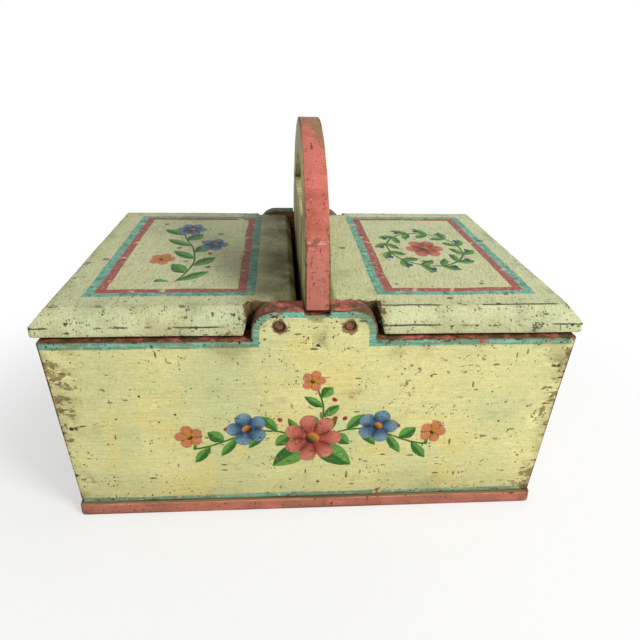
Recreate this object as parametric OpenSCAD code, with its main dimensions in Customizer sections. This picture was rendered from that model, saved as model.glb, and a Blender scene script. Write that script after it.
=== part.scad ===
// Sewing carrier: a sloping-sided wooden box with two lids on dowel pins
// and a fixed board handle. Millimetres, +X right, +Y back, +Z up.
// The origin is on the underside, at the middle of the footprint.

/* [Box] */
// Width of the box across the rim
rim_w = 260; // [220:1:320]
// Depth of the box across the rim, front face to back face
rim_d = 192; // [160:1:240]
// Height of the walls from their foot to the rim
wall_h = 101; // [80:1:140]
// Thickness of the four wall boards
board_t = 12.5; // [9:0.5:16]
// How far each wall leans out from its foot to the rim
flare = 5.5; // [0:0.5:12]

/* [Bottom board] */
// Thickness of the bottom board
base_t = 7.5; // [5:0.5:12]
// How far the bottom board stands proud of the walls
base_over = 1.5; // [0:0.5:4]
// Corner radius of the bottom board in plan
base_r = 3; // [1:0.5:6]

/* [Ears] */
// Width of the raised ear on the front and back boards
ear_w = 61; // [56:1:76]
// Height of the ear above the rim
ear_h = 15.7; // [14:0.1:20]
// Radius of the ear's shoulders
ear_r = 12; // [8:0.5:13]
// Depth of the slot in each ear that takes the handle
slot_depth = 2.5; // [1:0.5:4]

/* [Pins] */
// Diameter of the dowel pins
pin_d = 5.5; // [4:0.5:6]
// Distance of each pin from the middle of the box
pin_x = 16.9; // [16:0.1:20]
// Height of the pins above the rim
pin_h = 6.8; // [5:0.1:9]
// How far each pin's end lies below the ear's outer face
pin_recess = 1.6; // [0.5:0.1:3]
// Length of pin inside the lid
pin_grip = 16; // [10:1:24]

/* [Lids] */
// Thickness of the lids
lid_t = 13; // [11:0.5:16]
// How far each lid reaches past the side board at the rim
lid_over = 4; // [1:0.5:8]
// How far the lids' long edges lie back from the front and back faces
lid_setback = 2; // [0:0.5:5]
// Height of the upright edge under the bevel
lid_edge = 4.5; // [3:0.5:7]
// Width of the bevel seen from above
bevel_run = 7.5; // [4:0.5:12]
// Corner radius of the lids in plan
lid_r = 3; // [1:0.5:14]
// Slant of the lid's shoulder beside the ear, in degrees
shoulder_slant = 14.7; // [5:0.1:20]

/* [Handle] */
// Thickness of the handle and divider
handle_t = 11.8; // [9:0.1:14]
// How far the handle stands to the right of the middle
handle_off = 1; // [-2:0.5:2]
// Height of the handle's top above the rim
handle_top = 91; // [80:1:120]
// Height above the rim where the handle's arch springs
spring_h = 20; // [17:1:25]
// Radius of the handle's rounded haunches
haunch_r = 50; // [44:1:60]
// Height above the rim of the glued joint in the handle
joint_h = 46; // [38:1:52]
// Width of the handle's band round the hand hole
band_w = 20; // [15:1:26]
// Diameter of the hidden dowels in the glued joint
dowel_d = 5; // [3:0.5:6]
// Length of those dowels
dowel_len = 18; // [12:1:20]
// Distance of those dowels from the handle's outer edge
dowel_inset = 13.5; // [11:0.5:15]

/* [Nails] */
// Width of the cut nails' shanks
nail_w = 2.2; // [1.6:0.1:3]
// Thickness of the cut nails' shanks
nail_t = 1.4; // [1:0.1:2]
// Width of the nail heads
nail_head_w = 3.8; // [3.2:0.1:5]
// Height of the nail heads, across their width
nail_head_h = 2; // [1.8:0.1:3]
// Thickness of the nail heads
nail_head_t = 0.8; // [0.5:0.1:1.5]
// Length of the nails
nail_len = 28; // [22:1:36]
// Distance of the top and bottom nails from the ends of their row
nail_inset = 16; // [10:1:24]
// Depth below the rim of the nails that hold the divider
divider_nail_drop = 3; // [3:0.5:12]

/* [Clearances] */
// Gap between the rim of the front board and the lids
lid_gap = 1; // [0.5:0.1:2]
// Radial running gap between pin and lid
pin_clear = 0.08; // [0.02:0.01:0.1]
// Radial gap between a driven pin, dowel or nail and its hole
drive_clear = 0.02; // [0.01:0.01:0.05]
// Gap between a lid's tongue and the ears
tongue_clear = 0.5; // [0.3:0.1:1.5]
// Gap between a lid's turning ends and the handle or ear
swing_clear = 0.8; // [0.5:0.1:1.5]
// Gap on each side of the handle in the ear's slot
slot_clear = 0.2; // [0.1:0.1:0.6]
// Gap under the handle's shoulders above the slot
shoulder_gap = 2.1; // [0.5:0.1:3]
// Blind holes run this much deeper than what they hold
hole_extra = 1; // [0.5:0.5:2]

/* [Hidden] */
$fn = 64;
cream = "#ccce96";
coral = "#bd6455";
wood = "#7a5a36";
iron = "#4a443c";
// Heights
foot_z = base_t;
rim_z = foot_z + wall_h;
ear_top = rim_z + ear_h;
pin_z = rim_z + pin_h;
lid_z = rim_z + lid_gap;
lid_top = lid_z + lid_t;
joint_z = rim_z + joint_h;
top_z = rim_z + handle_top;
spring_z = rim_z + spring_h;
slot_z = ear_top - slot_depth;
// Sloping walls: the level cut through a leaning board
lean = atan(flare / wall_h);
cut_t = board_t / cos(lean);
function flare_at(z) = flare * (z - rim_z) / wall_h;
function half_w(z) = rim_w / 2 + flare_at(z);
function half_d(z) = rim_d / 2 + flare_at(z);
function inner_w(z) = half_w(z) - cut_t;
function inner_d(z) = half_d(z) - cut_t;
// Lids: both turning ends are worked out from the pin
lid_half_d = rim_d / 2 - lid_setback;
lid_end = rim_w / 2 + lid_over;
end_r = pin_x - handle_t / 2 - abs(handle_off) - swing_clear;
notch_r = norm([ear_w / 2 - pin_x, pin_h - lid_gap]) + swing_clear / 2;
tongue_half = inner_d(lid_z - end_r) - tongue_clear;
// Pins, measured along Y
pin_out = half_d(pin_z) - pin_recess;
pin_in = tongue_half - pin_grip;
// Handle arch, measured from the middle of the box along Y
arch_half = half_d(slot_z + shoulder_gap);
arch_rise = top_z - spring_z;
crown_in = arch_half - haunch_r;
crown_drop = (crown_in * crown_in - pow(arch_rise - haunch_r, 2)) / (2 * (arch_rise - haunch_r));
crown_r = arch_rise + crown_drop;
leg_rise = joint_z - spring_z;
dowel_y = crown_in + sqrt(haunch_r * haunch_r - leg_rise * leg_rise) - dowel_inset;
// Cuts run this far past the faces they open
over = 1;

// Walls

// Upright section of a leaning wall, from the foot to the given height
module lean_section(half, top) {
    polygon([[-half - flare_at(foot_z), foot_z],
             [-half - flare_at(top), top],
             [-half - flare_at(top) + cut_t, top],
             [-half - flare_at(foot_z) + cut_t, foot_z]]);
}

// Front view of the front and back boards: a trapezoid with the ear on top
module board_outline() {
    polygon([[-half_w(foot_z), foot_z], [half_w(foot_z), foot_z],
             [half_w(rim_z), rim_z], [-half_w(rim_z), rim_z]]);
    for (side = [-1, 1])
        translate([side * (ear_w / 2 - ear_r), ear_top - ear_r]) circle(ear_r);
    translate([-ear_w / 2 + ear_r, rim_z - over]) square([ear_w - 2 * ear_r, ear_h + over]);
    translate([-ear_w / 2, rim_z - over]) square([ear_w, ear_h - ear_r + over]);
}

// Turns a drawing in X and Z into a solid along Y, centred
module along_y(length) {
    rotate([90, 0, 0]) linear_extrude(length, center = true) children();
}

// Turns a drawing in Y and Z into a solid along X, centred
module along_x(length) {
    rotate([90, 0, 90]) linear_extrude(length, center = true) children();
}

module ear_board() {
    difference() {
        intersection() {
            along_y(2 * rim_d) board_outline();
            along_x(2 * rim_w) lean_section(rim_d / 2, ear_top + over);
        }
        translate([handle_off - handle_t / 2 - slot_clear, -rim_d, slot_z])
            cube([handle_t + 2 * slot_clear, rim_d, slot_depth + over]);
        for (side = [-1, 1]) translate([side * pin_x, 0, pin_z]) rotate([90, 0, 0])
            cylinder(h = rim_d, d = pin_d + 2 * drive_clear);
        corner_nails(drive_clear);
        bottom_nail_rows(drive_clear);
        handle_nail(drive_clear);
    }
}

module side_board() {
    difference() {
        intersection() {
            along_y(2 * rim_d) lean_section(rim_w / 2, lid_z);
            along_x(2 * rim_w)
                polygon([[-inner_d(foot_z), foot_z], [inner_d(foot_z), foot_z],
                         [inner_d(lid_z), lid_z], [-inner_d(lid_z), lid_z]]);
        }
        corner_nails(drive_clear);
        mirror([0, 1, 0]) corner_nails(drive_clear);
        bottom_nail_rows(drive_clear);
    }
}

module front_board() {
    color(cream) ear_board();
}

module back_board() {
    color(cream) mirror([0, 1, 0]) ear_board();
}

module left_side() {
    color(cream) side_board();
}

module right_side() {
    color(cream) mirror([1, 0, 0]) side_board();
}

module bottom_board() {
    foot_w = half_w(foot_z) + base_over;
    foot_d = half_d(foot_z) + base_over;
    color(coral) difference() {
        union() {
            translate([-foot_w + base_r, -foot_d, 0])
                cube([2 * (foot_w - base_r), 2 * foot_d, base_t]);
            translate([-foot_w, -foot_d + base_r, 0])
                cube([2 * foot_w, 2 * (foot_d - base_r), base_t]);
            for (x = [-1, 1], y = [-1, 1])
                translate([x * (foot_w - base_r), y * (foot_d - base_r), 0])
                    cylinder(h = base_t, r = base_r);
        }
        bottom_nail_rows(drive_clear);
    }
}

// Handle

// Three-centred arch in Y and Z, drawn inside the outer edge by the inset
module arch(inset) {
    reach = 2 * arch_half;
    crown_z = spring_z - crown_drop;
    difference() {
        union() {
            intersection() {
                translate([0, crown_z]) circle(crown_r - inset, $fn = 160);
                polygon([[0, crown_z], [reach, crown_z + reach * crown_drop / crown_in],
                         [reach, crown_z + reach + crown_r],
                         [-reach, crown_z + reach + crown_r],
                         [-reach, crown_z + reach * crown_drop / crown_in]]);
            }
            for (side = [-1, 1])
                translate([side * crown_in, spring_z]) circle(haunch_r - inset, $fn = 96);
            translate([-crown_in, spring_z - haunch_r]) square([2 * crown_in, haunch_r]);
            polygon([[-crown_in, spring_z], [crown_in, spring_z], [0, crown_z + crown_r - inset - over]]);
        }
        translate([-reach, spring_z - 2 * haunch_r - over]) square([2 * reach, 2 * haunch_r + over]);
    }
}

module handle_slab() {
    translate([handle_off, 0, 0]) along_x(handle_t) children();
}

module divider_board() {
    shoulder_z = slot_z + shoulder_gap;
    color(coral) difference() {
        handle_slab() {
            polygon([[-inner_d(foot_z), foot_z], [inner_d(foot_z), foot_z],
                     [inner_d(shoulder_z), shoulder_z], [arch_half, shoulder_z],
                     [arch_half, spring_z], [-arch_half, spring_z],
                     [-arch_half, shoulder_z], [-inner_d(shoulder_z), shoulder_z]]);
            intersection() {
                arch(0);
                translate([-rim_d, spring_z - over]) square([2 * rim_d, joint_z - spring_z + over]);
            }
        }
        dowels(drive_clear);
        handle_nail(drive_clear);
        mirror([0, 1, 0]) handle_nail(drive_clear);
    }
}

module handle_arch() {
    color(coral) difference() {
        handle_slab() difference() {
            arch(0);
            arch(band_w);
            translate([-rim_d, 0]) square([2 * rim_d, joint_z]);
        }
        dowels(drive_clear);
    }
}

// The two dowels, or with a gap the holes that they are driven into
module dowels(gap) {
    deep = dowel_len / 2 + (gap > 0 ? hole_extra : 0);
    for (side = [-1, 1])
        translate([handle_off, side * dowel_y, joint_z - deep])
            cylinder(h = 2 * deep, d = dowel_d + 2 * gap);
}

module handle_dowels() {
    color(wood) dowels(0);
}

// Lids and their pins

module right_lid_shape() {
    difference() {
        intersection() {
            along_y(2 * lid_half_d) union() {
                polygon([[pin_x, lid_z], [lid_end, lid_z], [lid_end, lid_z + lid_edge],
                         [lid_end - bevel_run, lid_top], [pin_x, lid_top]]);
                intersection() {
                    translate([pin_x, pin_z]) circle(end_r);
                    translate([0, lid_z]) square([pin_x + over, lid_t]);
                }
            }
            along_x(2 * rim_w)
                polygon([[-lid_half_d, lid_z], [lid_half_d, lid_z],
                         [lid_half_d, lid_z + lid_edge], [lid_half_d - bevel_run, lid_top],
                         [-lid_half_d + bevel_run, lid_top], [-lid_half_d, lid_z + lid_edge]]);
            union() {
                translate([0, -lid_half_d, lid_z])
                    cube([lid_end - lid_r, 2 * lid_half_d, lid_t]);
                translate([0, -lid_half_d + lid_r, lid_z])
                    cube([lid_end, 2 * (lid_half_d - lid_r), lid_t]);
                for (side = [-1, 1])
                    translate([lid_end - lid_r, side * (lid_half_d - lid_r), lid_z])
                        cylinder(h = lid_t, r = lid_r);
            }
        }
        for (side = [-1, 1]) {
            translate([pin_x, side * (tongue_half + rim_d / 2), pin_z])
                rotate([0, -shoulder_slant, 0])
                    translate([notch_r - rim_w, -rim_d / 2, -rim_w]) cube([rim_w, rim_d, 2 * rim_w]);
            translate([pin_x, side * tongue_half, pin_z]) rotate([side * 90, 0, 0])
                translate([0, 0, -over])
                    cylinder(h = pin_grip + hole_extra + over, d = pin_d + 2 * pin_clear);
        }
    }
}

module right_lid() {
    color(cream) right_lid_shape();
}

module left_lid() {
    color(cream) mirror([1, 0, 0]) right_lid_shape();
}

module pin(x_side, y_side) {
    color(wood) translate([x_side * pin_x, y_side * pin_out, pin_z]) rotate([y_side * 90, 0, 0])
        cylinder(h = pin_out - pin_in, d = pin_d);
}

module front_left_pin() {
    pin(-1, -1);
}

module front_right_pin() {
    pin(1, -1);
}

module back_left_pin() {
    pin(-1, 1);
}

module back_right_pin() {
    pin(1, 1);
}

// Nails

// A cut nail driven along +Z with its head flush at the origin, or its hole
module nail(gap) {
    open = gap > 0 ? over : 0;
    translate([-nail_w / 2 - gap, -nail_t / 2 - gap, 0])
        cube([nail_w + 2 * gap, nail_t + 2 * gap, nail_len + gap]);
    translate([-nail_head_w / 2 - gap, -nail_head_h / 2 - gap, -open])
        cube([nail_head_w + 2 * gap, nail_head_h + 2 * gap, nail_head_t + gap + open]);
}

// Three nails at each end of the front board, square to its leaning face
module corner_nails(gap) {
    for (side = [-1, 1], step = [0 : 2]) {
        z = foot_z + nail_inset + step * (wall_h - 2 * nail_inset) / 2;
        translate([side * (half_w(z) - cut_t / 2), -half_d(z), z])
            rotate([-90 + lean, 0, 0]) nail(gap);
    }
}

// Nails through the bottom board up into the middle of each wall
module bottom_nail_rows(gap) {
    row_x = half_w(foot_z) - cut_t / 2;
    row_y = half_d(foot_z) - cut_t / 2;
    for (side = [-1, 1], step = [-1 : 1]) {
        translate([side * row_x, step * (row_y - cut_t - nail_inset), 0]) nail(gap);
        translate([step * (row_x - cut_t - nail_inset), side * row_y, 0]) nail(gap);
    }
}

// One nail through the front board into the divider, just under the rim
module handle_nail(gap) {
    z = rim_z - divider_nail_drop;
    translate([handle_off, -half_d(z), z]) rotate([-90 + lean, 0, 0]) nail(gap);
}

module front_corner_nails() {
    color(iron) corner_nails(0);
}

module back_corner_nails() {
    color(iron) mirror([0, 1, 0]) corner_nails(0);
}

module bottom_nails() {
    color(iron) bottom_nail_rows(0);
}

module handle_nails() {
    color(iron) {
        handle_nail(0);
        mirror([0, 1, 0]) handle_nail(0);
    }
}

front_board();
back_board();
left_side();
right_side();
bottom_board();
divider_board();
handle_arch();
handle_dowels();
left_lid();
right_lid();
front_left_pin();
front_right_pin();
back_left_pin();
back_right_pin();
front_corner_nails();
back_corner_nails();
bottom_nails();
handle_nails();
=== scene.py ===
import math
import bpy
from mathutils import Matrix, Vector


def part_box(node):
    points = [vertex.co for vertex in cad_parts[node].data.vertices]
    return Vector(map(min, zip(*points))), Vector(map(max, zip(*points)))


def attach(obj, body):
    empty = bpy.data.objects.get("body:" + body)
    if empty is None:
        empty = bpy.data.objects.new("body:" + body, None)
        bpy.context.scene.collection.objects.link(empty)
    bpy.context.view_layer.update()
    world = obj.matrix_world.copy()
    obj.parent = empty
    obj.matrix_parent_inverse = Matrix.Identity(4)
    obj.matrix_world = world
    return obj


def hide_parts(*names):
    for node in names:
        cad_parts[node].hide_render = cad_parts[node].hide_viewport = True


bl_info = {
    "name": "Painted sewing carrier",
    "version": (1, 0, 0),
    "blender": (4, 5, 0),
    "location": "View3D > Sidebar > Sewing Carrier",
    "description": "Dresses a wooden sewing carrier's boards, lids and handle in worn folk paint",
    "category": "Object",
}

import bmesh
import bpy
from bpy.props import FloatProperty, FloatVectorProperty, IntProperty, PointerProperty
from mathutils import Matrix, Vector, noise
from mathutils.bvhtree import BVHTree

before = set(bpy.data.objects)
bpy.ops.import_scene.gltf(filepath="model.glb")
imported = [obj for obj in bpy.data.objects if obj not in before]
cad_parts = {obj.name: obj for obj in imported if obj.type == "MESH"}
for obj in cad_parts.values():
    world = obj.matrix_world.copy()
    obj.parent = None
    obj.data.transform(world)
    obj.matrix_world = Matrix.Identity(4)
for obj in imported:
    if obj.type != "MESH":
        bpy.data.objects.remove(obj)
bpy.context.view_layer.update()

# Sizes are in millimetres here and in the materials, and in metres in the meshes.
MM = 0.001


def corners(node):
    """Lowest and highest corner of a frame piece, in millimetres."""
    low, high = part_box(node)
    return [c / MM for c in low], [c / MM for c in high]


FRONT_LOW, FRONT_HIGH = corners("front_board")
LID_LOW, LID_HIGH = corners("right_lid")
HANDLE_LOW, HANDLE_HIGH = corners("handle_arch")
PIN_LOW, PIN_HIGH = corners("front_right_pin")
BASE_HIGH = corners("bottom_board")[1]
DIVIDER_HIGH = corners("divider_board")[1]

# Heights, and the pins' place
LID_GAP = 1.0
FOOT_Z = FRONT_LOW[2]
EAR_TOP = FRONT_HIGH[2]
LID_Z = LID_LOW[2]
RIM_Z = LID_Z - LID_GAP
PIN_X = (PIN_LOW[0] + PIN_HIGH[0]) / 2
PIN_Z = (PIN_LOW[2] + PIN_HIGH[2]) / 2

# Plan of the walls and lids
BASE_PROUD = 1.5
BOARD_T = 12.5
RIM_HALF_W = FRONT_HIGH[0]
FOOT_HALF_W = BASE_HIGH[0] - BASE_PROUD
FOOT_HALF_D = BASE_HIGH[1] - BASE_PROUD
FLARE = (RIM_HALF_W - FOOT_HALF_W) / (RIM_Z - FOOT_Z)
EAR_HALF = 30.5
EAR_R = 12.0
LID_END = LID_HIGH[0]
LID_HALF_D = LID_HIGH[1]
LID_EDGE = 4.5
BEVEL_RUN = 7.5
NOTCH_X = 32.0
TONGUE_HALF = 82.6

# Handle
HANDLE_X = (HANDLE_LOW[0] + HANDLE_HIGH[0]) / 2
HANDLE_HALF_T = (HANDLE_HIGH[0] - HANDLE_LOW[0]) / 2
HANDLE_HALF_D = DIVIDER_HIGH[1]
JOINT_Z = HANDLE_LOW[2]
TOP_Z = HANDLE_HIGH[2]
ARCH_RISE = 20.0
SPRING_Z = RIM_Z + ARCH_RISE


def colour_property(name, description, *screen):
    """A colour given as screen values from 0 to 255, kept as Blender's linear ones."""
    parts = [c / 255 for c in screen]
    linear = [c / 12.92 if c <= 0.04045 else ((c + 0.055) / 1.055) ** 2.4 for c in parts]
    return FloatVectorProperty(
        name=name, description=description, default=linear, subtype="COLOR", min=0, max=1, size=3
    )


def length_property(name, description, default, least=0.0):
    """A length in millimetres."""
    description += ", in millimetres"
    return FloatProperty(name=name, description=description, default=default, min=least)


def power_property(name, description, default):
    return FloatProperty(
        name=name, description=description, default=default, min=0, subtype="POWER"
    )


def angle_property(name, description, default):
    return FloatProperty(name=name, description=description, default=default, subtype="ANGLE")


class CarrierPaint(bpy.types.PropertyGroup):
    """Colours of the painted boards and of what shows where the paint is gone."""

    cream: colour_property("Cream", "Ground colour of the walls and lids", 212, 206, 144)
    cream_green: colour_property("Green cream", "Cooler clouds in the ground", 194, 196, 140)
    cream_yellow: colour_property("Yellow cream", "Warmer clouds in the ground", 216, 198, 124)
    cream_grey: colour_property("Grey cream", "Cooler ground of the lids", 198, 206, 168)
    teal: colour_property("Teal", "Outer stripes", 116, 178, 160)
    # Also used for the back board's top edge, where its darkness is partly painted shade.
    teal_dark: colour_property("Dark teal", "Outer stripes where thick or dirty", 82, 140, 118)
    coral: colour_property("Coral", "Handle and base", 212, 116, 104)
    coral_dark: colour_property("Dark coral", "Worn and shaded coral", 168, 92, 74)
    # Also used as a painted highlight along the base's top edge.
    coral_light: colour_property("Chalky coral", "Rubbed edges and handle joint", 236, 178, 160)
    base_dull: colour_property("Dull coral", "Soiled coral of the base", 142, 100, 80)
    brick: colour_property("Brick", "Inner stripes of the lids", 158, 82, 76)
    wood: colour_property("Wood", "Aged wood under chipped paint", 96, 72, 44)
    wood_pale: colour_property("Pale wood", "Bare wood inside the box", 156, 118, 76)
    soot: colour_property("Soot", "Dirt in dents and cracks", 44, 34, 18)
    grime: colour_property("Grime", "Thin brown film near the edges", 128, 108, 62)
    leaf: colour_property("Leaf green", "Leaves of the painted sprays", 48, 98, 38)
    leaf_light: colour_property("Light leaf", "Lit side of the leaves", 88, 142, 62)
    blue: colour_property("Blue", "Blue flowers", 38, 66, 98)
    blue_light: colour_property("Light blue", "Petal tips of the blue flowers", 96, 132, 152)
    red: colour_property("Red", "Red flowers", 142, 50, 42)
    red_light: colour_property("Light red", "Petal tips of the red flowers", 192, 108, 92)
    ochre: colour_property("Ochre", "Flower centres and buds", 188, 124, 50)
    iron: colour_property("Iron", "Nail heads", 52, 44, 36)


class CarrierStripes(bpy.types.PropertyGroup):
    """Painted stripes."""

    rim_width: length_property("Rim stripe", "Width of the stripe under the rim", 4.2, 1)
    foot_width: length_property("Foot stripe", "Width of the stripe over the base", 3.4, 1)
    lid_width: length_property("Lid stripe", "Width of each stripe of a lid's frame", 4.7, 1)
    wobble: length_property("Wobble", "How far the brush strays from a line", 0.9)


class CarrierWear(bpy.types.PropertyGroup):
    """How worn and uneven the pieces are."""

    unevenness: length_property("Unevenness", "Deepest mark of planing by hand", 0.35)
    slice_step: length_property("Slice step", "Spacing of the cuts that let a board bend", 6.0, 2)
    arris: length_property("Arris", "Radius of the boards' worn edges", 0.7, 0.1)
    base_arris: length_property("Base arris", "Radius of the base's worn edges", 1.3, 0.1)
    pin_arris: length_property("Pin arris", "Radius of the pins' worn edges", 0.6, 0.1)
    dowel_arris: length_property("Dowel arris", "Radius of the hidden dowels' edges", 0.5, 0.1)
    nail_arris: length_property("Nail arris", "Radius of the nails' edges", 0.2, 0.1)
    pin_unevenness: length_property("Pin unevenness", "Deepest mark on a pin", 0.1)
    arris_segments: IntProperty(
        name="Arris segments", description="Faces across a board's worn edge", default=3, min=1
    )


class CarrierStage(bpy.types.PropertyGroup):
    """Camera and light."""

    lens: FloatProperty(
        name="Lens", description="Focal length", default=33.0, min=10, subtype="DISTANCE_CAMERA"
    )
    eye: FloatVectorProperty(
        name="Eye",
        description="Where the camera stands",
        default=(-0.0175, -0.3461, 0.2352),
        subtype="TRANSLATION",
    )
    pitch: angle_property("Pitch", "How far the camera looks down", 0.4344)
    yaw: angle_property("Yaw", "How far the camera looks to the right", 0.0789)
    roll: angle_property("Roll", "How far the camera leans", 0.0243)
    key_power: power_property("Key", "Power of the large lamp", 27.0)
    fill_power: power_property("Fill", "Power of the fill lamp", 2.5)
    back_power: power_property("Back", "Power of the lamp behind", 3.0)
    world_strength: FloatProperty(
        name="World", description="Strength of the surrounding light", default=0.28, min=0
    )


class Value:
    """A shader socket that can be used in Python expressions."""

    def __init__(self, nodes, socket):
        self.nodes = nodes
        self.socket = socket

    def output(self, name):
        """Another output of the same node."""
        return Value(self.nodes, self.socket.node.outputs[name])

    def maths(self, operation, *others):
        inputs = dict(enumerate((self,) + others))
        return self.nodes.node("ShaderNodeMath", {"operation": operation}, inputs)

    def __add__(self, other):
        return self.maths("ADD", other)

    __radd__ = __add__

    def __mul__(self, other):
        return self.maths("MULTIPLY", other)

    __rmul__ = __mul__

    def __sub__(self, other):
        return self.maths("SUBTRACT", other)

    def __rsub__(self, other):
        return self.nodes.node("ShaderNodeMath", {"operation": "SUBTRACT"}, {0: other, 1: self})

    def __truediv__(self, other):
        return self.maths("DIVIDE", other)

    def __abs__(self):
        return self.maths("ABSOLUTE")

    def __pow__(self, other):
        return self.maths("POWER", other)

    def low(self, other):
        """The smaller of the two."""
        return self.maths("MINIMUM", other)

    def high(self, other):
        """The larger of the two."""
        return self.maths("MAXIMUM", other)

    def ramp(self, start, end):
        """Eases from 0 at start to 1 at end, where end may be below start."""
        return self.nodes.node(
            "ShaderNodeMapRange",
            {"interpolation_type": "SMOOTHSTEP"},
            {"Value": self, "From Min": start, "From Max": end},
        )


class Nodes:
    """A node tree that is filled from Python expressions."""

    def __init__(self, tree):
        self.tree = tree
        tree.nodes.clear()

    def node(self, kind, settings=None, inputs=None, output=0):
        """Adds a node, sets it, fills or links its inputs and returns an output, if it has any."""
        node = self.tree.nodes.new(kind)
        for name, value in (settings or {}).items():
            setattr(node, name, value)
        for name, value in (inputs or {}).items():
            socket = node.inputs[name]
            if isinstance(value, Value):
                self.tree.links.new(value.socket, socket)
            elif hasattr(value, "__len__") and socket.type == "RGBA" and len(value) == 3:
                socket.default_value = (*value, 1)
            else:
                socket.default_value = value
        return Value(self, node.outputs[output]) if node.outputs else None


class Finish(Nodes):
    """A material whose pattern is worked out from the piece's coordinates, in millimetres."""

    # Depth of the marks in metres, and how glossy the old paint and wood are.
    DEPTH = 0.0006
    GLOSS = 0.15

    def __init__(self, name):
        self.material = bpy.data.materials.new(name)
        self.material.use_nodes = True
        super().__init__(self.material.node_tree)
        self.paint = bpy.context.scene.carrier_paint
        self.stripes = bpy.context.scene.carrier_stripes
        place = self.node("ShaderNodeTexCoord", output="Object")
        self.spot = self.tint(place, 1 / MM)
        self.x = self.node("ShaderNodeSeparateXYZ", {}, {0: self.spot}, "X")
        self.y, self.z = self.x.output("Y"), self.x.output("Z")
        self.nx = self.node("ShaderNodeSeparateXYZ", {}, {0: place.output("Normal")}, "X")
        self.ny, self.nz = self.nx.output("Y"), self.nx.output("Z")

    def mix(self, mask, ground, top):
        """The ground colour, with the top colour over it where the mask is 1."""
        inputs = {0: mask, 6: ground, 7: top}
        return self.node("ShaderNodeMix", {"data_type": "RGBA"}, inputs, 2)

    def tint(self, colour, strength):
        """A colour made lighter or darker, or a vector made longer or shorter."""
        inputs = {0: colour, "Scale": strength}
        return self.node("ShaderNodeVectorMath", {"operation": "SCALE"}, inputs)

    def stretched(self, scale, shift, turn=(0, 0, 0)):
        """The piece's coordinates, turned, scaled along each axis and shifted in the noise."""
        spot = self.spot
        if any(turn):
            spot = self.node("ShaderNodeMapping", {}, {"Vector": spot, "Rotation": turn})
        scale = tuple(scale) if hasattr(scale, "__len__") else (scale,) * 3
        place = (shift * 7.31, shift * -5.17, shift * 3.73)
        inputs = {0: spot, 1: scale, 2: place}
        return self.node("ShaderNodeVectorMath", {"operation": "MULTIPLY_ADD"}, inputs)

    def noise(self, scale, detail=2.0, roughness=0.5, shift=0.0, turn=(0, 0, 0), distortion=0.0):
        """Noise around 0.5. Its scale is in waves per millimetre, for all axes or for each."""
        inputs = {
            "Vector": self.stretched(scale, shift, turn),
            "Scale": 1.0,
            "Detail": detail,
            "Roughness": roughness,
            "Distortion": distortion,
        }
        return self.node("ShaderNodeTexNoise", {}, inputs)

    def cells(self, scale, shift):
        """Distance to the nearest of scattered points, in cells, and a random number for each."""
        inputs = {"Vector": self.stretched(scale, shift), "Scale": 1.0, "Randomness": 1.0}
        near = self.node("ShaderNodeTexVoronoi", {}, inputs, "Distance")
        chance = self.node("ShaderNodeSeparateXYZ", {}, {0: near.output("Color")}, "X")
        return near, chance

    def close(self, colour, roughness, height):
        """Joins colour, roughness and height to the surface, and returns the material."""
        bump = {"Height": height, "Distance": self.DEPTH, "Strength": 1.0}
        inputs = {
            "Base Color": colour,
            "Roughness": roughness,
            "Specular IOR Level": self.GLOSS,
            "Normal": self.node("ShaderNodeBump", {}, bump),
        }
        surface = self.node("ShaderNodeBsdfPrincipled", {}, inputs)
        self.node("ShaderNodeOutputMaterial", {}, {"Surface": surface})
        return self.material


def streaked(fine, coarse, along):
    """A scale for noise that runs along one axis, 0, 1 or 2, as brush marks and grain do."""
    return [coarse if axis == along else fine for axis in range(3)]


def root_of_squares(a, b):
    """Distance from the origin to the point a, b."""
    return (a * a + b * b) ** 0.5


def turned(u, v, degrees):
    """Drawing coordinates turned by an angle."""
    cos, sin = math.cos(math.radians(degrees)), math.sin(math.radians(degrees))
    return u * cos + v * sin, v * cos - u * sin


def cream_ground(f, along, cool=0.0):
    """Cloudy cream paint over a fine weave of brush marks, and the marks' height."""
    cool_cloud = f.noise(0.020, 3, shift=1.0).ramp(0.40, 0.64)
    warm_cloud = f.noise(0.035, 3, shift=2.0).ramp(0.50, 0.72)
    ground = f.mix(cool_cloud, f.paint.cream, f.paint.cream_green)
    ground = f.mix(warm_cloud * 0.6, ground, f.paint.cream_yellow)
    ground = f.mix(cool, ground, f.paint.cream_grey)
    marks = f.noise(streaked(0.9, 0.06, along), 4, 0.65, shift=3.0)
    hairs = f.noise(streaked(2.6, 0.30, along), 2, shift=4.0)
    weft = f.noise((1.7, 1.7, 0.45) if along == 0 else (1.7, 0.45, 1.7), 2, shift=5.0)
    ground = f.tint(ground, 0.40 + marks * 0.40 + hairs * 0.44 + weft * 0.36)
    return ground, marks + hairs * 0.7 + weft * 0.5


def coral_ground(f, along):
    """Coral paint, rubbed darker and paler in places, and its brush marks' height."""
    rubbed = f.noise(0.045, 4, 0.6, shift=21.0).ramp(0.42, 0.66)
    ground = f.mix(rubbed, f.paint.coral, f.paint.coral_dark)
    marks = f.noise(streaked(1.2, 0.10, along), 4, 0.6, shift=22.0)
    hairs = f.noise(0.9, 5, 0.7, shift=23.0)
    return f.tint(ground, 0.70 + marks * 0.24 + hairs * 0.36), marks + hairs * 0.5


def bare_wood(f, along, pale=False):
    """Aged wood with its grain along one axis, and the grain's height."""
    grain = f.noise(streaked(0.55, 0.012, along), 5, 0.6, shift=31.0, distortion=0.4)
    lines = f.noise(streaked(2.2, 0.03, along), 3, shift=32.0)
    light, dark = (f.paint.wood_pale, f.paint.wood) if pale else (f.paint.wood, f.paint.soot)
    ground = f.mix(grain.ramp(0.36, 0.66), light, dark)
    stain = f.noise(0.03, 4, shift=33.0).ramp(0.45, 0.75)
    ground = f.mix(stain * 0.35, ground, f.paint.grime)
    return f.tint(ground, 0.75 + lines * 0.5), grain + lines * 0.5


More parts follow.
